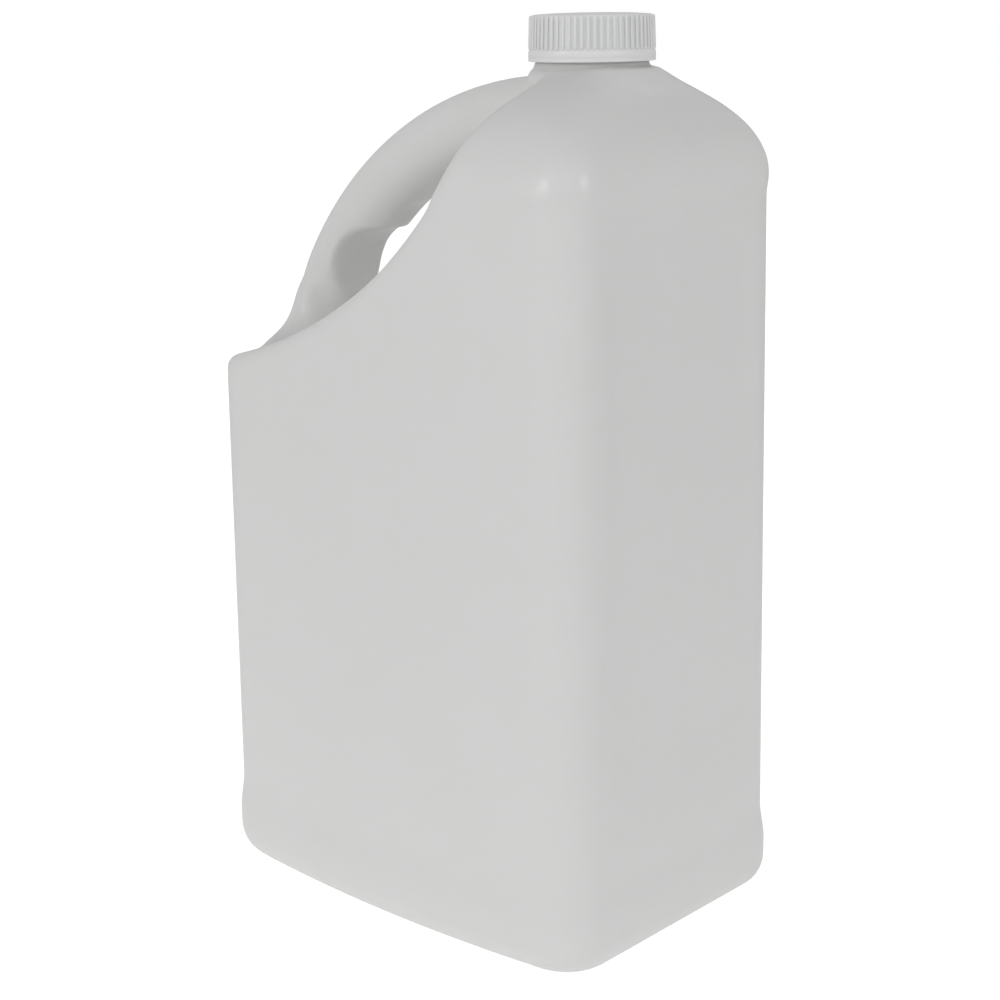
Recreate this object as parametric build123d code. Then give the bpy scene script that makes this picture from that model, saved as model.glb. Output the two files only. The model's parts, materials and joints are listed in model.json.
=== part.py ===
"""Slant handle jug with a screw cap and a liner.

Frame: millimetres, +Z up, origin under the middle of the base, +X towards the narrow face that carries
the neck, the wide faces at -Y and +Y, the grip handle at -X.
"""
import math
import os
from build123d import *

os.makedirs("parts", exist_ok=True)

# body plan, measured at the top of the wall
HALF_LENGTH = 84.5
HALF_WIDTH_FRONT = 53.2
HALF_WIDTH_MIDDLE = 57.7
HALF_WIDTH_REAR = 49.4
FRONT_CORNER = 16.5
REAR_CORNER = 24.0
LEAST_CORNER = 8.0
WALL_SPREAD = 1.4
WALL = 1.2

# foot band and base
FOOT_OUT = 1.4
FOOT_WIDEST = 18.0
FOOT_TOP = 28.0
BASE_ROUND = 10.5
PUSH_UP_MARGIN = 17.0
PUSH_UP = 2.0

# shoulder
SHOULDER_START = 241.0
SIDE_ROUND = 33.0
SIDE_ARC_DEG = 60.0
SIDE_SLOPE_RUN = 2.03
CORNER_ARC_DEG = 40.0
CORNER_SLOPE_RUN = 0.62
BROW_START = 250.0
BROW_ROUND = 20.0
BROW_ARC_DEG = 40.0
BROW_SLOPE_RUN = 0.85
SHOULDER_TOP = 280.5
SHOULDER_HEIGHTS = [SHOULDER_START, 247, 256, 266, 274, 282.5]
BROW_OUT = 2.0
BROW_RISE = 6.0
SLANT_EDGE_ROUND = 5.0
SHOULDER_EDGE_ROUND = 4.3
FUSE_TOLERANCE = 0.05
SLANT = [(-96, 181), (-79, 182.8), (-59.3, 187.6), (-36.8, 195.2), (-15, 205.4), (6.6, 219.4), (20.4, 232), (30.4, 244),
         (35, 252.6), (38.6, 260), (42, 268), (44.6, 276), (47.6, 289)]

# recessed front panel, at the surface and at its floor
PANEL_HALF_WIDTH = 45.0
PANEL_FLOOR_HALF_WIDTH = 32.0
PANEL_BOTTOM = 36.0
PANEL_FLOOR_BOTTOM = 70.0
PANEL_SPRING = 229.0
PANEL_FLOOR_SPRING = 224.0
PANEL_PEAK = 243.0
PANEL_FLOOR_PEAK = 235.0
PANEL_DEPTH = 1.5
PANEL_MOUTH_OUT = 0.9
PANEL_CORNER = 9.0

# handle: its middle line, root and finger scoops, as places along the length and height
HANDLE_HALF_WIDTH = 13.4
HANDLE_HALF_THICK = 11.6
HANDLE_FOOT = (-72.8, 168)
HANDLE_RISE = 16.5
LOWER_BEND_R = 50
LOWER_BEND_DEG = 32
UPPER_BEND_R = 118
UPPER_BEND_DEG = 62.3
HANDLE_RUN_IN = 18
ROOT_FLARE = [(-70, 171, 44, 12), (-71.8, 180, 38, 11.9), (-72.6, 186, 30, 11.7), (-72.8, 190, 22, 11.4),
              (-72.6, 194, 18.4, 10.8), (-72, 199, 16.6, 10), (-70.4, 205, 15.2, 9), (-68, 211, 13.6, 8)]
SCOOPS = [(-42, 208, 17), (-23.6, 221.2, 14), (-6.4, 231, 14)]
SCOOP_EDGE_ROUND = 2.0

# neck, cap and liner
NECK_X = 48.3
NECK_R = 17.4
NECK_WALL = 1.7
NECK_ROOT_R = 24.6
NECK_ROOT_Z = 275.0
NECK_ROOT_TOP = 281.4
NECK_BACK_R = 20.2
THROAT_LOW_R = 10.5
THROAT_LOW_Z = 258.0
RIM_EDGE = 0.4
CAP_BOTTOM = 282.4
CAP_HEIGHT = 14.6
CAP_R = 19.8
CAP_SKIRT_WALL = 1.0
CAP_TOP_WALL = 1.5
CAP_BAND = 3.2
CAP_EDGE_ROUND = 0.6
CAP_DOME = 0.7
CAP_LEAN = 0.35
RIB_COUNT = 60
RIB_DEPTH = 0.45
LINER_THICK = 1.0
LINER_SIDE_GAP = 0.3
LINER_SEAT = 0.0

CAP_TOP = CAP_BOTTOM + CAP_HEIGHT
RIM_Z = CAP_TOP - CAP_TOP_WALL - LINER_THICK - LINER_SEAT
UPRIGHT = (Align.CENTER, Align.CENTER, Align.MIN)


def side_bow(grow, x):
    """Half width of the body at a place along its length."""
    front = HALF_WIDTH_FRONT + grow
    middle = HALF_WIDTH_MIDDLE + grow
    rear = HALF_WIDTH_REAR + grow
    u = x / HALF_LENGTH
    return middle + (front - rear) / 2 * u + ((front + rear) / 2 - middle) * u * u


def plan(grow, z):
    """Rounded and bowed outline of the body at a height."""
    half = HALF_LENGTH + grow
    out = Polyline((half, HALF_WIDTH_FRONT + grow), (half, -HALF_WIDTH_FRONT - grow))
    back = Polyline((-half, -HALF_WIDTH_REAR - grow), (-half, HALF_WIDTH_REAR + grow))
    near = ThreePointArc((half, -HALF_WIDTH_FRONT - grow), (0, -HALF_WIDTH_MIDDLE - grow),
                         (-half, -HALF_WIDTH_REAR - grow))
    far = ThreePointArc((-half, HALF_WIDTH_REAR + grow), (0, HALF_WIDTH_MIDDLE + grow),
                        (half, HALF_WIDTH_FRONT + grow))
    face = make_face(Curve() + [out, near, back, far])
    corners = face.vertices().sort_by(Axis.X)
    face = fillet(corners[2:], max(FRONT_CORNER + grow, LEAST_CORNER))
    corners = [v for v in face.vertices() if v.X < -half + 0.5]
    face = fillet(corners, max(REAR_CORNER + grow, LEAST_CORNER))
    return Pos(0, 0, z) * face


def arc_then_slope(z, start, radius, degrees, run):
    """How far a rounded and then straight shoulder stands in from the wall at a height."""
    arc = radius * math.sin(math.radians(degrees))
    rise = min(max(z - start, 0), arc)
    return radius - math.sqrt(radius ** 2 - rise ** 2) + max(z - start - arc, 0) * run


def shoulder_insets(z):
    """Insets of the sides, the front's ends and the front's middle at a height, and the corner radius."""
    side = arc_then_slope(z, SHOULDER_START, SIDE_ROUND, SIDE_ARC_DEG, SIDE_SLOPE_RUN)
    ends = arc_then_slope(z, SHOULDER_START, SIDE_ROUND, CORNER_ARC_DEG, CORNER_SLOPE_RUN)
    brow = arc_then_slope(z, BROW_START, BROW_ROUND, BROW_ARC_DEG, BROW_SLOPE_RUN)
    share = (z - SHOULDER_START) / (SHOULDER_TOP - SHOULDER_START)
    corner = FRONT_CORNER - 4 * math.sin(math.pi * share)
    return side, ends, min(brow, ends), corner


def shoulder_section(z, inset):
    """Front part of the shoulder's outline at a height, from the middle of the body forward."""
    side, ends, brow, corner = shoulder_insets(z)
    x = HALF_LENGTH - ends - inset
    bulge = BROW_OUT * min((z - SHOULDER_START) / BROW_RISE, 1)
    peak = HALF_LENGTH - brow - inset + bulge + 0.02
    middle = side_bow(-side - inset, 0)
    quarter = side_bow(-side - inset, x / 2)
    tip = side_bow(-side - inset, x)
    outline = [Polyline((0, middle), (0, -middle)),
               ThreePointArc((0, -middle), (x / 2, -quarter), (x, -tip)),
               ThreePointArc((x, -tip), (peak, 0), (x, tip)),
               ThreePointArc((x, tip), (x / 2, quarter), (0, middle))]
    face = make_face(Curve() + outline)
    corners = face.vertices().sort_by(Axis.X)[2:]
    return Pos(0, 0, z) * fillet(corners, min(corner - inset, tip - 0.8))


def slant_tool(inset):
    """Everything above and behind the slanted back, as one piece across the body."""
    points = SLANT
    shifted = []
    for i, (x, z) in enumerate(points):
        a = points[max(i - 1, 0)]
        b = points[min(i + 1, len(points) - 1)]
        run = math.hypot(b[0] - a[0], b[1] - a[1])
        shifted.append((x + inset * (b[1] - a[1]) / run, z - inset * (b[0] - a[0]) / run))
    first = shifted[0]
    last = shifted[-1]
    curve = Spline([(x, z) for x, z in shifted])
    rest = Polyline(last, (last[0], 330), (first[0], 330), first)
    face = make_face(Curve() + [curve, rest])
    return extrude(Plane.XZ.offset(-100) * face, 200)


def grip_tube(inset):
    """Slot-shaped section run straight up from the rear wall, over two bends and in under the neck."""
    def section():
        lean = math.radians(turn)
        plane = Plane(origin=(x, 0, z), x_dir=(0, 1, 0), z_dir=(math.sin(lean), 0, math.cos(lean)))
        return plane * SlotOverall(2 * (HANDLE_HALF_WIDTH - inset), 2 * (HANDLE_HALF_THICK - inset))

    x, z = HANDLE_FOOT
    turn = 0
    tube = extrude(section(), HANDLE_RISE)
    z += HANDLE_RISE
    for radius, degrees in ((LOWER_BEND_R, LOWER_BEND_DEG), (UPPER_BEND_R, UPPER_BEND_DEG)):
        hub_x = x + radius * math.cos(math.radians(turn))
        hub_z = z - radius * math.sin(math.radians(turn))
        tube += revolve(section(), Axis((hub_x, 0, hub_z), (0, 1, 0)), degrees)
        turn += degrees
        x = hub_x - radius * math.cos(math.radians(turn))
        z = hub_z + radius * math.sin(math.radians(turn))
    return tube + extrude(section(), HANDLE_RUN_IN)


def handle(inset):
    """Grip's outer or inner shape: scooped tube, rounded on the outside only, and its flared root."""
    grip = grip_tube(inset)
    for x, z, radius in SCOOPS:
        grip -= Pos(x, 0, z) * Rot(90, 0, 0) * Cylinder(radius + inset, 60)
    if not inset:
        grip = fillet([edge for edge in grip.edges() if on_scoop(edge)], SCOOP_EDGE_ROUND)
    return grip + loft([Pos(x, 0, z) * Rot(0, 0, 90) * Ellipse(half - inset, thick - inset)
                        for x, z, half, thick in ROOT_FLARE])


def on_scoop(edge):
    """Whether an edge lies on one of the finger scoops."""
    middle = edge.position_at(0.5)
    gaps = [math.hypot(middle.X - x, middle.Z - z) - radius for x, z, radius in SCOOPS]
    return min(abs(gap) for gap in gaps) < 0.05


def body_solid(inset):
    """Foot, wall and shoulder with the slanted back cut away, shrunk by the inset."""
    grow = WALL_SPREAD + FOOT_OUT - inset
    low = extrude(plan(grow, inset), FOOT_WIDEST - inset)
    low = fillet(low.faces().sort_by(Axis.Z)[0].edges(), BASE_ROUND - inset)
    band = loft([plan(grow, FOOT_WIDEST), plan(WALL_SPREAD - inset, FOOT_TOP)], ruled=True)
    wall = loft([plan(WALL_SPREAD - inset, FOOT_TOP), plan(-inset, SHOULDER_START)], ruled=True)
    top = loft([shoulder_section(z, inset) for z in SHOULDER_HEIGHTS])
    wall = rounded_back(wall, inset, SLANT_EDGE_ROUND)
    top = rounded_back(top, inset, SHOULDER_EDGE_ROUND)
    below = Pos(0, 0, SHOULDER_TOP - inset) * Box(400, 400, 400, align=(Align.CENTER, Align.CENTER, Align.MAX))
    return low + band + wall.fuse(top & below, tol=FUSE_TOLERANCE)


def rounded_back(solid, inset, radius):
    """Solid with the slanted back cut away and the border of the cut rounded over."""
    cut = solid - slant_tool(inset)
    edges = [edge for edge in cut.edges() if on_slant_border(edge)]
    return fillet(edges, radius - inset)


def on_slant_border(edge):
    """Whether an edge lies between the slanted back and a wide face or the rear wall."""
    box = edge.bounding_box()
    middle = edge.position_at(0.5)
    level = box.max.Z - box.min.Z < 0.01
    return middle.Z > 150 and middle.X < 46 and not (level and middle.Z > 240)


def panel_tool(inset):
    """Shallow dish pressed into the front, with an arched top and long soft edges."""
    def outline(half, bottom, spring, peak, x):
        lines = [Polyline((half, spring), (half, bottom), (-half, bottom), (-half, spring)),
                 ThreePointArc((-half, spring), (0, peak), (half, spring))]
        face = make_face(Curve() + lines)
        face = fillet(face.vertices(), PANEL_CORNER)
        return Plane(origin=(x, 0, 0), x_dir=(0, 1, 0), z_dir=(1, 0, 0)) * face
    front = HALF_LENGTH + WALL_SPREAD / 2 - inset
    mouth = outline(PANEL_HALF_WIDTH, PANEL_BOTTOM, PANEL_SPRING, PANEL_PEAK, front + PANEL_MOUTH_OUT)
    floor = outline(PANEL_FLOOR_HALF_WIDTH, PANEL_FLOOR_BOTTOM, PANEL_FLOOR_SPRING, PANEL_FLOOR_PEAK,
                    front - PANEL_DEPTH)
    return loft([mouth, floor], ruled=True)


def jug_solid(inset):
    """Whole blown shape below the neck, shrunk by the inset."""
    body = body_solid(inset) - panel_tool(inset)
    envelope = extrude(plan(-inset, 100), 190)
    cone, throat = neck_root(inset)
    return body + (handle(inset) & envelope) + throat + cone


def neck_root(inset):
    """Low cone round the neck, and behind it the funnel that widens the grip to the neck."""
    cone = Cone(NECK_ROOT_R - inset, NECK_R - inset, NECK_ROOT_TOP - NECK_ROOT_Z, align=UPRIGHT)
    cone = Pos(NECK_X, 0, NECK_ROOT_Z) * cone - slant_tool(inset)
    back = NECK_BACK_R - inset
    top = NECK_R - inset
    side = Polyline((0, THROAT_LOW_Z), (THROAT_LOW_R - inset, THROAT_LOW_Z), (back, NECK_ROOT_Z),
                    (back, NECK_ROOT_TOP - (back - top)), (top, NECK_ROOT_TOP), (0, NECK_ROOT_TOP), close=True)
    throat = Pos(NECK_X, 0, 0) * revolve(Plane.XZ * make_face(side), Axis.Z)
    return cone, throat


def jug():
    """Blown bottle up to its neck: its outside less its inside and the pushed-up base."""
    cavity = jug_solid(WALL) - Pos(0, 0, WALL) * push_up()
    return jug_solid(0) - cavity - push_up()


def neck_finish():
    """Plain neck that stands on the root's rim, with its top edge broken."""
    height = RIM_Z - NECK_ROOT_TOP
    tube = Cylinder(NECK_R, height, align=UPRIGHT)
    tube = chamfer(tube.faces().sort_by(Axis.Z)[-1].edges(), RIM_EDGE)
    tube = tube - Cylinder(NECK_R - NECK_WALL, height, align=UPRIGHT)
    return Pos(NECK_X, 0, NECK_ROOT_TOP) * tube


def push_up():
    """Shallow hollow under the base, inside the ring that the bottle stands on."""
    mouth = plan(-PUSH_UP_MARGIN, -0.01)
    roof = plan(-PUSH_UP_MARGIN - 2 * PUSH_UP, PUSH_UP)
    return loft([mouth, roof])


def cap():
    """Screw cap with a slightly domed top, ribs down to a plain band, and an open inside."""
    def ring_profile(radius):
        return [Polyline((0, CAP_BOTTOM), (radius, CAP_BOTTOM), (radius - CAP_LEAN, CAP_TOP - CAP_DOME))]
    outside = make_face(Curve() + ring_profile(CAP_R) + [
        ThreePointArc((CAP_R - CAP_LEAN, CAP_TOP - CAP_DOME), (CAP_R / 2, CAP_TOP - CAP_DOME / 4), (0, CAP_TOP)),
        Line((0, CAP_TOP), (0, CAP_BOTTOM))])
    shell = Pos(NECK_X, 0, 0) * revolve(Plane.XZ * outside, Axis.Z)
    rim = [e for e in shell.edges() if e.geom_type == GeomType.CIRCLE and e.bounding_box().min.Z > CAP_TOP - 1]
    shell = fillet(rim, CAP_EDGE_ROUND)
    inside_height = CAP_HEIGHT - CAP_TOP_WALL
    shell = shell - Pos(NECK_X, 0, CAP_BOTTOM) * Cylinder(CAP_R - CAP_SKIRT_WALL, inside_height, align=UPRIGHT)
    side = 2 * RIB_DEPTH
    groove = Rot(0, 0, 45) * Box(side, side, CAP_HEIGHT, align=UPRIGHT)
    groove = Pos(CAP_R - RIB_DEPTH + side / math.sqrt(2), 0, CAP_BOTTOM + CAP_BAND) * groove
    grooves = [Pos(NECK_X, 0, 0) * Rot(0, 0, 360 * i / RIB_COUNT) * groove for i in range(RIB_COUNT)]
    return shell - grooves


def liner():
    """Soft sealing disc pressed against the inside of the cap's top."""
    radius = CAP_R - CAP_SKIRT_WALL - LINER_SIDE_GAP
    return Pos(NECK_X, 0, RIM_Z + LINER_SEAT) * Cylinder(radius, LINER_THICK, align=UPRIGHT)


if __name__ == "__main__":
    nodes = {"jug": jug(), "neck_finish": neck_finish(), "cap": cap(), "cap_liner": liner()}
    for name, solid in nodes.items():
        solid.label = name
        print(name, round(solid.volume / 1000, 2), "cm3", len(solid.solids()), "solid", solid.is_valid)
        export_step(solid, f"parts/{name}.step")
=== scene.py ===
"""Slant handle jug in a pale studio: blown skin, threaded neck and ribbed screw cap."""

import json
import logging
import math
from dataclasses import dataclass
from enum import Enum

import bpy
from mathutils import Matrix, Vector

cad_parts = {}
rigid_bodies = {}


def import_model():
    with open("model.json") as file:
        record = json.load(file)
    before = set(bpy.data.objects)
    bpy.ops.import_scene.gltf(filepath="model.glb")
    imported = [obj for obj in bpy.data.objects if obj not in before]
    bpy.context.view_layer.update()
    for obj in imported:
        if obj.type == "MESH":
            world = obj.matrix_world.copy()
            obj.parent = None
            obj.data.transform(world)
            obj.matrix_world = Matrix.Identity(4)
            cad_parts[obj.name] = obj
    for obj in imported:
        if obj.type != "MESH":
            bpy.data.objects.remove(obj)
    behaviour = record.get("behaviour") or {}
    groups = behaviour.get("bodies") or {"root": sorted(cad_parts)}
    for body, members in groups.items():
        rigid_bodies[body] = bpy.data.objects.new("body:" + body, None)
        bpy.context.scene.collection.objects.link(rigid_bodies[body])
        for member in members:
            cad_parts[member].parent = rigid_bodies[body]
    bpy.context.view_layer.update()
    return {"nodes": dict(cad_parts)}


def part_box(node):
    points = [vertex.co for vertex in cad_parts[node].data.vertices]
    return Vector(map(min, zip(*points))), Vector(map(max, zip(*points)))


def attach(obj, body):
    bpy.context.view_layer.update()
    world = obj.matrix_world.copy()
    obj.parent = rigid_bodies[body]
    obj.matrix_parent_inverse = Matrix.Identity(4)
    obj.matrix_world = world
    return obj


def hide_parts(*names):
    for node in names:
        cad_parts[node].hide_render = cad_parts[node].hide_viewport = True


MM = 0.001
NECK_AXIS_X = 48.3
THREAD_START = 285.6
THREAD_PITCH = 4.233
THREAD_STEPS_A_TURN = 72
THREAD_END_DEG = 40.0
LOG = logging.getLogger("slant_handle_jug")

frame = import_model()


class Body(Enum):
    """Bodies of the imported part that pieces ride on."""

    JUG = "jug"
    CAP = "cap"


class Slot(Enum):
    """Material slots named in the record."""

    JUG = "jug_plastic"
    CAP = "cap_plastic"


# Mesh helpers


def deselect_all() -> None:
    """Leave edit mode and deselect every object."""
    if bpy.context.object and bpy.context.object.mode != "OBJECT":
        bpy.ops.object.mode_set(mode="OBJECT")
    bpy.ops.object.select_all(action="DESELECT")


def make_active(obj: bpy.types.Object) -> None:
    """Select one object alone and make it the active one.

    Args:
        obj: object that the next operators work on.
    """
    deselect_all()
    obj.select_set(True)
    bpy.context.view_layer.objects.active = obj


def newest(name: str) -> bpy.types.Object:
    """Name the object that an operator has just added.

    Args:
        name: name for the object and its mesh.

    Returns:
        The active object.
    """
    obj = bpy.context.object
    obj.name = name
    obj.data.name = name
    return obj


def copy_of_node(node: str, name: str) -> bpy.types.Object:
    """Copy a CAD node's mesh into a new object and merge its loose triangles.

    Args:
        node: name of the CAD node.
        name: name of the copy.

    Returns:
        The merged copy, which rides on nothing yet.
    """
    mesh = frame["nodes"][node].data.copy()
    mesh.name = name
    obj = bpy.data.objects.new(name, mesh)
    bpy.context.scene.collection.objects.link(obj)
    make_active(obj)
    bpy.ops.object.mode_set(mode="EDIT")
    bpy.ops.mesh.select_all(action="SELECT")
    bpy.ops.mesh.remove_doubles(threshold=0.002 * MM)
    bpy.ops.object.mode_set(mode="OBJECT")
    return obj


def select_only(obj: bpy.types.Object, kind: str, chosen: list[bool]) -> None:
    """Go into edit mode on one object with only the chosen vertices or faces selected.

    Args:
        obj: mesh object.
        kind: VERT or FACE.
        chosen: one value for each vertex or face.
    """
    make_active(obj)
    bpy.ops.object.mode_set(mode="EDIT")
    bpy.ops.mesh.select_mode(type=kind)
    bpy.ops.mesh.select_all(action="DESELECT")
    bpy.ops.object.mode_set(mode="OBJECT")
    elements = obj.data.vertices if kind == "VERT" else obj.data.polygons
    elements.foreach_set("select", chosen)
    bpy.ops.object.mode_set(mode="EDIT")


def apply_modifier(obj: bpy.types.Object, kind: str, **values: object) -> None:
    """Add a modifier, set its values and apply it.

    Args:
        obj: mesh object.
        kind: type of the modifier.
        **values: its settings by name.
    """
    make_active(obj)
    modifier = obj.modifiers.new(kind.lower(), kind)
    for name, value in values.items():
        setattr(modifier, name, value)
    bpy.ops.object.modifier_apply(modifier=modifier.name)


def place_in_mesh(obj: bpy.types.Object) -> None:
    """Put an object's place, turn and size into its mesh.

    Args:
        obj: object that ends at the origin, unturned and unscaled.
    """
    make_active(obj)
    bpy.ops.object.transform_apply(location=True, rotation=True, scale=True)


def smooth(obj: bpy.types.Object, degrees: float) -> None:
    """Shade an object smooth except over edges sharper than an angle.

    Args:
        obj: mesh object.
        degrees: least angle of an edge that stays sharp.
    """
    make_active(obj)
    bpy.ops.object.shade_smooth_by_angle(angle=math.radians(degrees))


def turned(name: str, profile: list[tuple[float, float]], segments: int) -> bpy.types.Object:
    """Turn a closed solid round the neck's axis, ring by ring from a circle.

    Args:
        name: name of the piece.
        profile: radius and height of each ring in mm, from the first pole to the last.
        segments: number of sides.

    Returns:
        The solid, with its two poles closed.
    """
    deselect_all()
    radius, height = profile[0]
    axis_x = NECK_AXIS_X * MM
    bpy.ops.mesh.primitive_circle_add(vertices=segments, radius=radius * MM, fill_type="NGON",
                                      location=(axis_x, 0.0, height * MM))
    obj = newest(name)
    place_in_mesh(obj)
    bpy.ops.object.mode_set(mode="EDIT")
    bpy.ops.mesh.select_mode(type="VERT")
    bpy.ops.mesh.select_all(action="SELECT")
    for next_radius, next_height in profile[1:]:
        shift = (0.0, 0.0, (next_height - height) * MM)
        bpy.ops.mesh.extrude_region_move(TRANSFORM_OT_translate={"value": shift})
        scale = next_radius / radius
        bpy.ops.transform.resize(value=(scale, scale, 1.0), center_override=(axis_x, 0.0, next_height * MM))
        radius, height = next_radius, next_height
    bpy.ops.mesh.select_all(action="SELECT")
    bpy.ops.mesh.normals_make_consistent(inside=False)
    bpy.ops.object.mode_set(mode="OBJECT")
    return obj


def joined(name: str, pieces: list[bpy.types.Object]) -> bpy.types.Object:
    """Join pieces into one object.

    Args:
        name: name of the joined piece.
        pieces: objects to join, the first of which stays.

    Returns:
        The joined object.
    """
    make_active(pieces[0])
    for piece in pieces[1:]:
        piece.select_set(True)
    bpy.ops.object.join()
    return newest(name)


def cut_with(obj: bpy.types.Object, tool: bpy.types.Object, operation: str) -> None:
    """Unite an object with a tool or cut the tool from it, and remove the tool.

    Args:
        obj: closed mesh that stays.
        tool: closed mesh that is used up.
        operation: UNION or DIFFERENCE.
    """
    apply_modifier(obj, "BOOLEAN", operation=operation, object=tool, solver="MANIFOLD")
    bpy.data.objects.remove(tool)


# Shader parts


def new_group(name: str, inputs: dict[str, float], outputs: list[tuple[str, str]]) -> bpy.types.NodeTree:
    """Make an empty shader node group.

    Args:
        name: name of the group.
        inputs: float inputs with their first values.
        outputs: name and socket type of each output.

    Returns:
        The node tree, with its input and output nodes named "in" and "out".
    """
    tree = bpy.data.node_groups.new(name, "ShaderNodeTree")
    for title, value in inputs.items():
        socket = tree.interface.new_socket(name=title, in_out="INPUT", socket_type="NodeSocketFloat")
        socket.default_value = value
    for title, kind in outputs:
        tree.interface.new_socket(name=title, in_out="OUTPUT", socket_type=kind)
    tree.nodes.new("NodeGroupInput").name = "in"
    tree.nodes.new("NodeGroupOutput").name = "out"
    return tree


def add(tree: bpy.types.NodeTree, kind: str, **values: object) -> bpy.types.Node:
    """Add a node and set its properties, and its inputs through the "inputs" dictionary.

    Args:
        tree: node tree that gets the node.
        kind: node type.
        **values: properties by name; "inputs" maps socket names or places to values.

    Returns:
        The new node.
    """
    node = tree.nodes.new(kind)
    first_values = values.pop("inputs", {})
    for name, value in values.items():
        setattr(node, name, value)
    for socket, value in first_values.items():
        node.inputs[socket].default_value = value
    return node


def moulded_grain_group() -> bpy.types.NodeTree:
    """Fine sandblasted grain of a mould over the slow unevenness of the wall.

    Returns:
        A group with outputs Height, in metres, and Tone, about 0 to 1.
    """
    tree = new_group(
        "moulded_grain",
        {"Grain Size": 0.9, "Grain Depth": 0.012, "Wave Size": 38.0, "Wave Depth": 0.12},
        [("Height", "NodeSocketFloat"), ("Tone", "NodeSocketFloat")],
    )
    source, out = tree.nodes["in"], tree.nodes["out"]
    place = add(tree, "ShaderNodeTexCoord")
    heights = []
    for size, depth, detail in (("Grain Size", "Grain Depth", 3.0), ("Wave Size", "Wave Depth", 1.0)):
        scale = add(tree, "ShaderNodeMath", operation="DIVIDE", inputs={0: 1000.0})
        tree.links.new(source.outputs[size], scale.inputs[1])
        noise = add(tree, "ShaderNodeTexNoise", inputs={"Detail": detail, "Roughness": 0.55})
        tree.links.new(place.outputs["Object"], noise.inputs["Vector"])
        tree.links.new(scale.outputs[0], noise.inputs["Scale"])
        metres = add(tree, "ShaderNodeMath", operation="MULTIPLY", inputs={1: MM})
        tree.links.new(source.outputs[depth], metres.inputs[0])
        height = add(tree, "ShaderNodeMath", operation="MULTIPLY")
        tree.links.new(noise.outputs["Fac"], height.inputs[0])
        tree.links.new(metres.outputs[0], height.inputs[1])
        heights.append((noise, height))
    total = add(tree, "ShaderNodeMath", operation="ADD")
    tree.links.new(heights[0][1].outputs[0], total.inputs[0])
    tree.links.new(heights[1][1].outputs[0], total.inputs[1])
    tree.links.new(total.outputs[0], out.inputs["Height"])
    tree.links.new(heights[1][0].outputs["Fac"], out.inputs["Tone"])
    return tree


def parting_line_group() -> bpy.types.NodeTree:
    """Raised flash line where the two mould halves met, along the middle plane.

    Returns:
        A group with outputs Mask, 1 on the line, and Height in metres.
    """
    tree = new_group(
        "parting_line",
        {"Half Width": 0.3, "Rise": 0.06},
        [("Mask", "NodeSocketFloat"), ("Height", "NodeSocketFloat")],
    )
    source, out = tree.nodes["in"], tree.nodes["out"]
    place = add(tree, "ShaderNodeTexCoord")
    axes = add(tree, "ShaderNodeSeparateXYZ")
    tree.links.new(place.outputs["Object"], axes.inputs[0])
    off = add(tree, "ShaderNodeMath", operation="ABSOLUTE")
    tree.links.new(axes.outputs["Y"], off.inputs[0])
    in_mm = add(tree, "ShaderNodeMath", operation="MULTIPLY", inputs={1: 1.0 / MM})
    tree.links.new(off.outputs[0], in_mm.inputs[0])
    share = add(tree, "ShaderNodeMath", operation="DIVIDE")
    tree.links.new(in_mm.outputs[0], share.inputs[0])
    tree.links.new(source.outputs["Half Width"], share.inputs[1])
    mask = add(tree, "ShaderNodeMapRange", interpolation_type="SMOOTHSTEP",
               inputs={"From Min": 0.3, "From Max": 1.0, "To Min": 1.0, "To Max": 0.0})
    tree.links.new(share.outputs[0], mask.inputs["Value"])
    metres = add(tree, "ShaderNodeMath", operation="MULTIPLY", inputs={1: MM})
    tree.links.new(source.outputs["Rise"], metres.inputs[0])
    height = add(tree, "ShaderNodeMath", operation="MULTIPLY")
    tree.links.new(mask.outputs["Result"], height.inputs[0])
    tree.links.new(metres.outputs[0], height.inputs[1])
    tree.links.new(mask.outputs["Result"], out.inputs["Mask"])
    tree.links.new(height.outputs[0], out.inputs["Height"])
    return tree


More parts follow.
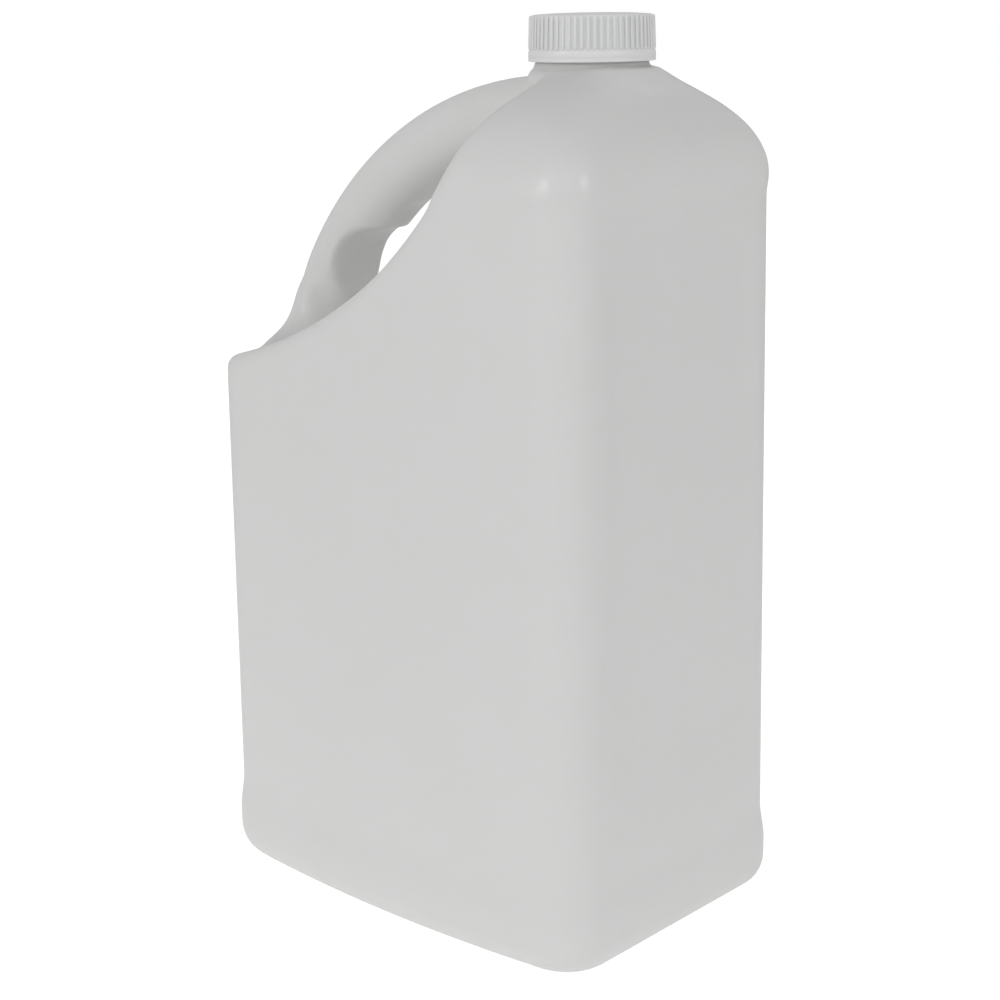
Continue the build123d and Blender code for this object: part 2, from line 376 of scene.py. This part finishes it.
@dataclass(frozen=True)
class Plastic:
    """A moulded polyolefin finish with its grain, unevenness and, if blown, a parting line."""

    name: str
    colour: tuple[float, float, float]
    shade: tuple[float, float, float]
    roughness: float
    grain_mm: float
    grain_depth_mm: float
    wave_mm: float
    wave_depth_mm: float
    parting_rise_mm: float
    glow_depth_mm: float
    glow: float

    def build(self, grain: bpy.types.NodeTree, parting: bpy.types.NodeTree) -> bpy.types.Material:
        """Build the material.

        Args:
            grain: moulded grain group.
            parting: parting line group.

        Returns:
            A node material that reads Object coordinates only.
        """
        material = bpy.data.materials.new(self.name)
        material.use_nodes = True
        tree = material.node_tree
        shader = tree.nodes["Principled BSDF"]
        shader.inputs["Subsurface Weight"].default_value = self.glow
        shader.inputs["Subsurface Radius"].default_value = (1.0, 0.97, 0.9)
        shader.inputs["Subsurface Scale"].default_value = self.glow_depth_mm * MM
        shader.inputs["IOR"].default_value = 1.5
        surface = add(tree, "ShaderNodeGroup", node_tree=grain)
        surface.inputs["Grain Size"].default_value = self.grain_mm
        surface.inputs["Grain Depth"].default_value = self.grain_depth_mm
        surface.inputs["Wave Size"].default_value = self.wave_mm
        surface.inputs["Wave Depth"].default_value = self.wave_depth_mm
        line = add(tree, "ShaderNodeGroup", node_tree=parting)
        line.inputs["Rise"].default_value = self.parting_rise_mm
        tone = add(tree, "ShaderNodeMix", data_type="RGBA",
                   inputs={6: (*self.shade, 1.0), 7: (*self.colour, 1.0)})
        tree.links.new(surface.outputs["Tone"], tone.inputs["Factor"])
        tree.links.new(tone.outputs[2], shader.inputs["Base Color"])
        rough = add(tree, "ShaderNodeMapRange",
                    inputs={"From Min": 0.3, "From Max": 0.7, "To Min": self.roughness - 0.03,
                            "To Max": self.roughness + 0.03})
        tree.links.new(surface.outputs["Tone"], rough.inputs["Value"])
        tree.links.new(rough.outputs["Result"], shader.inputs["Roughness"])
        height = add(tree, "ShaderNodeMath", operation="ADD")
        tree.links.new(surface.outputs["Height"], height.inputs[0])
        tree.links.new(line.outputs["Height"], height.inputs[1])
        bump = add(tree, "ShaderNodeBump", inputs={"Strength": 1.0, "Distance": 1.0})
        tree.links.new(height.outputs[0], bump.inputs["Height"])
        tree.links.new(bump.outputs["Normal"], shader.inputs["Normal"])
        return material


BLOWN = Plastic(
    "blown_natural_plastic", colour=(0.825, 0.83, 0.81), shade=(0.81, 0.815, 0.79), roughness=0.36,
    grain_mm=0.8, grain_depth_mm=0.006, wave_mm=34.0, wave_depth_mm=0.10, parting_rise_mm=0.05,
    glow_depth_mm=5.0, glow=0.4)
PRESSED = Plastic(
    "moulded_cap_plastic", colour=(0.85, 0.855, 0.85), shade=(0.84, 0.845, 0.84), roughness=0.34,
    grain_mm=0.6, grain_depth_mm=0.004, wave_mm=12.0, wave_depth_mm=0.01, parting_rise_mm=0.0,
    glow_depth_mm=3.0, glow=0.25)
FOAM = Plastic(
    "pressed_foam", colour=(0.74, 0.74, 0.72), shade=(0.70, 0.70, 0.68), roughness=0.72,
    grain_mm=0.5, grain_depth_mm=0.03, wave_mm=6.0, wave_depth_mm=0.02, parting_rise_mm=0.0,
    glow_depth_mm=1.5, glow=0.1)


def dress(obj: bpy.types.Object, material: bpy.types.Material) -> None:
    """Give an object one material alone.

    Args:
        obj: mesh object.
        material: its only material.
    """
    obj.data.materials.clear()
    obj.data.materials.append(material)


def thread_section(height: float, root: float, flank: float, crest: float,
                   side: int) -> list[tuple[float, float]]:
    """Lay out a thread's section with its foot sunk a little into the wall.

    Args:
        height: height of the thread over its wall, in mm.
        root: half its width at the wall, in mm.
        flank: half its width at three quarters of its height, in mm.
        crest: half its width at the top, in mm.
        side: 1 for a thread outside a neck, -1 for one inside a cap.

    Returns:
        Radial and upward offsets of the section's corners in mm, in order.
    """
    half = [(-0.3, root + 0.05), (0.0, root), (0.75 * height, flank), (height, crest)]
    first = [(side * out, -side * rise) for out, rise in half]
    return first + [(side * out, side * rise) for out, rise in reversed(half)]


def helix(name: str, start: tuple[float, float], section: list[tuple[float, float]],
          turns: float) -> bpy.types.Object:
    """Run a section round the neck's axis as a right-handed thread with closed ends.

    Args:
        name: name of the piece.
        start: radius and height of the section's own zero, in mm.
        section: radial and upward offsets of the section's corners in mm, in order.
        turns: number of turns.

    Returns:
        The thread as one closed mesh.
    """
    deselect_all()
    bpy.ops.mesh.primitive_circle_add(vertices=len(section), radius=1.0 * MM, fill_type="NGON")
    obj = newest(name)
    for vertex, (out, rise) in zip(obj.data.vertices, section):
        vertex.co = Vector(((start[0] + out) * MM, 0.0, (start[1] + rise) * MM))
    steps = round(THREAD_STEPS_A_TURN * turns)
    apply_modifier(obj, "SCREW", axis="Z", angle=2.0 * math.pi * turns, steps=steps, render_steps=steps,
                   screw_offset=THREAD_PITCH * turns * MM, use_merge_vertices=False)
    bpy.ops.object.mode_set(mode="EDIT")
    bpy.ops.mesh.select_all(action="SELECT")
    bpy.ops.mesh.remove_doubles(threshold=0.001 * MM)
    bpy.ops.mesh.select_all(action="DESELECT")
    bpy.ops.mesh.select_mode(type="EDGE")
    bpy.ops.mesh.select_non_manifold()
    bpy.ops.mesh.edge_face_add()
    bpy.ops.mesh.select_all(action="SELECT")
    bpy.ops.mesh.normals_make_consistent(inside=False)
    bpy.ops.object.mode_set(mode="OBJECT")
    obj.location = (NECK_AXIS_X * MM, 0.0, 0.0)
    obj.rotation_euler = (0.0, 0.0, math.radians(THREAD_END_DEG))
    place_in_mesh(obj)
    return obj


@dataclass
class BlownJug:
    """Hollow blown jug: softened skin, real wall, plain neck with its thread, sizes in mm."""

    neck_radius: float = 17.4
    neck_sides: int = 128
    bore_radius: float = 15.7
    root_bore_radius: float = 16.2
    bore_rise: float = 30.0
    mouth_slice: float = 0.01
    voxel: float = 1.6
    soften_rounds: int = 3
    thread_crest: float = 18.4
    thread_turns: float = 1.25

    def shell(self, name: str, outer: bool) -> bpy.types.Object:
        """Take the outer or the inner side of the CAD jug and close its mouth.

        Args:
            name: name of the shell.
            outer: True for the outside, False for the inside.

        Returns:
            A closed mesh, with faces pointing out of it.
        """
        obj = copy_of_node("jug", name)
        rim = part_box("jug")[1].z - self.mouth_slice * MM
        select_only(obj, "FACE", [face.center.z > rim for face in obj.data.polygons])
        bpy.ops.mesh.delete(type="FACE")
        bpy.ops.object.mode_set(mode="OBJECT")
        reach = [vertex.co.x for vertex in obj.data.vertices]
        foremost = reach.index(max(reach))
        select_only(obj, "VERT", [i == foremost for i in range(len(reach))])
        bpy.ops.mesh.select_linked()
        if outer:
            bpy.ops.mesh.select_all(action="INVERT")
        bpy.ops.mesh.delete(type="VERT")
        bpy.ops.mesh.select_all(action="DESELECT")
        bpy.ops.mesh.select_mode(type="EDGE")
        bpy.ops.mesh.select_non_manifold()
        if not outer:
            rise = (0.0, 0.0, self.bore_rise * MM)
            bpy.ops.mesh.extrude_region_move(TRANSFORM_OT_translate={"value": rise})
            narrow = self.bore_radius / self.root_bore_radius
            centre = (NECK_AXIS_X * MM, 0.0, rim)
            bpy.ops.transform.resize(value=(narrow, narrow, 1.0), center_override=centre)
        bpy.ops.mesh.edge_face_add()
        bpy.ops.mesh.select_all(action="SELECT")
        bpy.ops.mesh.normals_make_consistent(inside=False)
        bpy.ops.object.mode_set(mode="OBJECT")
        LOG.info("%s %d faces", name, len(obj.data.polygons))
        return obj

    def build(self, plastic: bpy.types.Material) -> None:
        """Build the jug and its thread and let them ride on the jug's body.

        Args:
            plastic: finish of the jug.
        """
        skin = self.shell("jug_skin", outer=True)
        apply_modifier(skin, "REMESH", mode="VOXEL", voxel_size=self.voxel * MM)
        apply_modifier(skin, "SMOOTH", factor=0.5, iterations=self.soften_rounds)
        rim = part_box("neck_finish")[1].z / MM
        wall, bore = self.neck_radius, self.bore_radius
        profile = [
            (bore - 0.6, 272.0), (wall + 1.4, 279.0), (wall + 0.35, 281.9), (wall, 282.6),
            (wall, rim - 0.5), (wall - 0.15, rim - 0.15), (wall - 0.5, rim), (bore - 0.6, rim)]
        neck = turned("neck", profile, self.neck_sides)
        cut_with(skin, neck, "UNION")
        cut_with(skin, self.shell("jug_inside", outer=False), "DIFFERENCE")
        smooth(skin, 50.0)
        dress(skin, plastic)
        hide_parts("jug", "neck_finish")
        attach(skin, Body.JUG.value)
        LOG.info("jug_skin %d faces", len(skin.data.polygons))
        section = thread_section(self.thread_crest - wall, root=1.0, flank=0.55, crest=0.2, side=1)
        thread = helix("neck_thread", (wall, THREAD_START), section, self.thread_turns)
        smooth(thread, 35.0)
        dress(thread, plastic)
        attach(thread, Body.JUG.value)
        LOG.info("neck_thread %d faces", len(thread.data.polygons))


@dataclass
class RibbedCap:
    """Screw cap: domed top, fine grip ribs, plain lower band, hollow inside with its thread, sizes in mm."""

    outer: float = 19.8
    root: float = 19.3
    inner: float = 18.8
    sides: int = 240
    rib_count: int = 60
    rib_half_width: float = 0.62
    rib_half_depth: float = 0.34
    rib_foot: float = 286.6
    rib_below_top: float = 1.45
    rib_lean: float = 0.3
    thread_crest: float = 17.8
    thread_turns: float = 1.5

    def shell(self) -> bpy.types.Object:
        """Turn the hollow cap without its ribs.

        Returns:
            One closed mesh.
        """
        low, high = (corner.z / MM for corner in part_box("cap"))
        liner_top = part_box("cap_liner")[1].z / MM
        profile = [
            (0.05, liner_top), (17.2, liner_top), (self.inner - 0.25, liner_top - 0.1),
            (self.inner, liner_top - 0.6), (self.inner, low + 0.25), (self.inner + 0.2, low),
            (self.outer - 0.3, low), (self.outer - 0.08, low + 0.08), (self.outer, low + 0.3),
            (self.outer, low + 0.95), (self.outer - 0.1, low + 1.05), (self.outer - 0.1, low + 1.2),
            (self.outer, low + 1.3), (self.outer - 0.03, low + 2.9), (self.root + 0.1, low + 3.7),
            (self.root - 0.05, low + 4.2), (self.root - 0.3, high - 1.6), (self.root - 0.42, high - 1.15),
            (self.root - 0.75, high - 0.72), (self.root - 1.2, high - 0.55), (self.root - 2.4, high - 0.45),
            (12.0, high - 0.16), (6.0, high - 0.04), (0.05, high)]
        return turned("cap_shell", profile, self.sides)

    def rib(self) -> bpy.types.Object:
        """Model one rib: a ball drawn out upwards and pressed flat against the wall.

        Returns:
            The rib on the axis's +X side, with its place in its mesh.
        """
        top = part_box("cap")[1].z / MM - self.rib_below_top
        deselect_all()
        start = ((NECK_AXIS_X + self.outer - self.rib_half_depth) * MM, 0.0, self.rib_foot * MM)
        bpy.ops.mesh.primitive_uv_sphere_add(segments=12, ring_count=8, radius=self.rib_half_width * MM,
                                             location=start)
        obj = newest("rib")
        obj.scale = (self.rib_half_depth / self.rib_half_width, 1.0, 1.0)
        place_in_mesh(obj)
        middle = start[2] + 0.001 * MM
        select_only(obj, "VERT", [vertex.co.z > middle for vertex in obj.data.vertices])
        bpy.ops.transform.translate(value=(-self.rib_lean * MM, 0.0, (top - self.rib_foot) * MM))
        bpy.ops.mesh.select_all(action="DESELECT")
        bpy.ops.object.mode_set(mode="OBJECT")
        return obj

    def build(self, plastic: bpy.types.Material) -> None:
        """Build the cap and its thread and let them ride on the cap's body.

        Args:
            plastic: finish of the cap.
        """
        shell = self.shell()
        rib = self.rib()
        ribs = [rib]
        hub = Matrix.Translation((NECK_AXIS_X * MM, 0.0, 0.0))
        for i in range(1, self.rib_count):
            copy = rib.copy()
            copy.data = rib.data.copy()
            bpy.context.scene.collection.objects.link(copy)
            turn = Matrix.Rotation(2.0 * math.pi * i / self.rib_count, 4, "Z")
            copy.data.transform(hub @ turn @ hub.inverted())
            ribs.append(copy)
        cap = joined("ribbed_cap", [shell] + ribs)
        smooth(cap, 50.0)
        dress(cap, plastic)
        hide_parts("cap")
        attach(cap, Body.CAP.value)
        LOG.info("ribbed_cap %d faces", len(cap.data.polygons))
        section = thread_section(self.inner - self.thread_crest, root=0.9, flank=0.5, crest=0.18, side=-1)
        start = (self.inner, THREAD_START - THREAD_PITCH / 2.0)
        thread = helix("cap_thread", start, section, self.thread_turns)
        smooth(thread, 35.0)
        dress(thread, plastic)
        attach(thread, Body.CAP.value)
        LOG.info("cap_thread %d faces", len(thread.data.polygons))


@dataclass(frozen=True)
class Softbox:
    """One soft square lamp that points at the jug.

    azimuth and elevation are its direction in degrees, as the camera's. away and side are in metres.
    """

    name: str
    azimuth: float
    elevation: float
    away: float
    side: float
    watts: float

    def build(self, middle: Vector) -> None:
        """Add the lamp.

        Args:
            middle: place that it points at.
        """
        azimuth, elevation = math.radians(self.azimuth), math.radians(self.elevation)
        direction = Vector((math.sin(azimuth) * math.cos(elevation), -math.cos(azimuth) * math.cos(elevation),
                            math.sin(elevation)))
        data = bpy.data.lights.new(self.name, "AREA")
        data.shape = "SQUARE"
        data.size = self.side
        data.energy = self.watts
        obj = bpy.data.objects.new(self.name, data)
        turn = direction.to_track_quat("Z", "Y").to_matrix().to_4x4()
        obj.matrix_world = Matrix.Translation(middle + direction * self.away) @ turn
        bpy.context.scene.collection.objects.link(obj)


SOFTBOXES = (
    Softbox("left_softbox", azimuth=-12.0, elevation=22.0, away=1.5, side=0.24, watts=2.8),
    Softbox("right_softbox", azimuth=84.0, elevation=22.0, away=1.5, side=0.24, watts=2.2),
    Softbox("front_softbox", azimuth=22.0, elevation=26.0, away=2.0, side=1.6, watts=2.8),
)


@dataclass
class Studio:
    """Camera, pale floor, white surroundings and soft lamps."""

    azimuth_deg: float = 42.48
    distance: float = 0.6678
    height: float = 0.3008
    yaw_deg: float = -0.45
    pitch_deg: float = 14.01
    roll_deg: float = -0.86
    lens_mm: float = 72.0
    aim_height: float = 0.15
    floor_side: float = 12.0
    floor_drop: float = 0.0002
    floor_tone: float = 0.9
    floor_seen: float = 0.62
    floor_glow: float = 0.23
    glow_reach: float = 0.9
    surround: float = 0.54

    def camera(self) -> None:
        """Set the camera at the photograph's viewing angle."""
        azimuth, yaw, pitch, roll = (
            math.radians(angle) for angle in (self.azimuth_deg, self.yaw_deg, self.pitch_deg, self.roll_deg))
        place = Vector((math.sin(azimuth) * self.distance, -math.cos(azimuth) * self.distance, self.height))
        heading = azimuth + yaw
        forward = Vector((-math.sin(heading) * math.cos(pitch), math.cos(heading) * math.cos(pitch),
                          -math.sin(pitch)))
        level_right = forward.cross(Vector((0.0, 0.0, 1.0))).normalized()
        level_up = level_right.cross(forward)
        right = math.cos(roll) * level_right + math.sin(roll) * level_up
        up = -math.sin(roll) * level_right + math.cos(roll) * level_up
        data = bpy.data.cameras.new("camera")
        data.lens = self.lens_mm
        data.sensor_width = 36.0
        data.clip_start = 0.01
        data.clip_end = 50.0
        obj = bpy.data.objects.new("camera", data)
        turn = Matrix((right, up, -forward)).transposed().to_4x4()
        obj.matrix_world = Matrix.Translation(place) @ turn
        bpy.context.scene.collection.objects.link(obj)
        bpy.context.scene.camera = obj

    def floor(self) -> None:
        """Lay the pale floor, which keeps the jug's shadow."""
        deselect_all()
        bpy.ops.mesh.primitive_plane_add(size=self.floor_side, location=(0.0, 0.0, -self.floor_drop))
        floor = newest("floor")
        place_in_mesh(floor)
        material = bpy.data.materials.new("pale_floor")
        material.use_nodes = True
        tree = material.node_tree
        shader = tree.nodes["Principled BSDF"]
        shader.inputs["Base Color"].default_value = (self.floor_tone, self.floor_tone, self.floor_tone, 1.0)
        shader.inputs["Roughness"].default_value = 0.9
        shader.inputs["Specular IOR Level"].default_value = 0.1
        rays = add(tree, "ShaderNodeLightPath")
        place = add(tree, "ShaderNodeTexCoord")
        away = add(tree, "ShaderNodeVectorMath", operation="LENGTH")
        tree.links.new(place.outputs["Object"], away.inputs[0])
        glow = add(tree, "ShaderNodeMapRange",
                   inputs={"From Max": self.glow_reach, "To Min": self.floor_glow, "To Max": 0.0})
        tree.links.new(away.outputs["Value"], glow.inputs["Value"])
        strength = add(tree, "ShaderNodeMix", data_type="FLOAT", inputs={3: self.floor_seen})
        tree.links.new(rays.outputs["Is Camera Ray"], strength.inputs[0])
        tree.links.new(glow.outputs["Result"], strength.inputs[2])
        shader.inputs["Emission Color"].default_value = (1.0, 1.0, 1.0, 1.0)
        tree.links.new(strength.outputs[0], shader.inputs["Emission Strength"])
        dress(floor, material)

    def surroundings(self) -> None:
        """Surround the scene with an even tone that the camera sees as white, through clear pieces too."""
        world = bpy.data.worlds.new("surroundings")
        world.use_nodes = True
        tree = world.node_tree
        back = tree.nodes["Background"]
        back.inputs["Color"].default_value = (1.0, 1.0, 1.0, 1.0)
        rays = add(tree, "ShaderNodeLightPath")
        seen = add(tree, "ShaderNodeMath", operation="MAXIMUM")
        tree.links.new(rays.outputs["Is Camera Ray"], seen.inputs[0])
        tree.links.new(rays.outputs["Is Transmission Ray"], seen.inputs[1])
        strength = add(tree, "ShaderNodeMapRange", inputs={"To Min": self.surround, "To Max": 1.0})
        tree.links.new(seen.outputs[0], strength.inputs["Value"])
        tree.links.new(strength.outputs["Result"], back.inputs["Strength"])
        bpy.context.scene.world = world

    def build(self) -> None:
        """Set up camera, floor, surroundings and lamps."""
        self.camera()
        self.floor()
        self.surroundings()
        for softbox in SOFTBOXES:
            softbox.build(Vector((0.0, 0.0, self.aim_height)))
        bpy.context.scene.view_settings.view_transform = "Standard"
        LOG.info("studio ready")


def main() -> None:
    """Build the studio and the pieces of the jug in order."""
    logging.basicConfig(level=logging.INFO, format="%(message)s")
    grain = moulded_grain_group()
    parting = parting_line_group()
    blown, pressed, foam = (finish.build(grain, parting) for finish in (BLOWN, PRESSED, FOAM))
    Studio().build()
    BlownJug().build(blown)
    RibbedCap().build(pressed)
    dress(frame["nodes"]["cap_liner"], foam)
    LOG.info("cap_liner dressed")


if __name__ == "__main__":
    main()
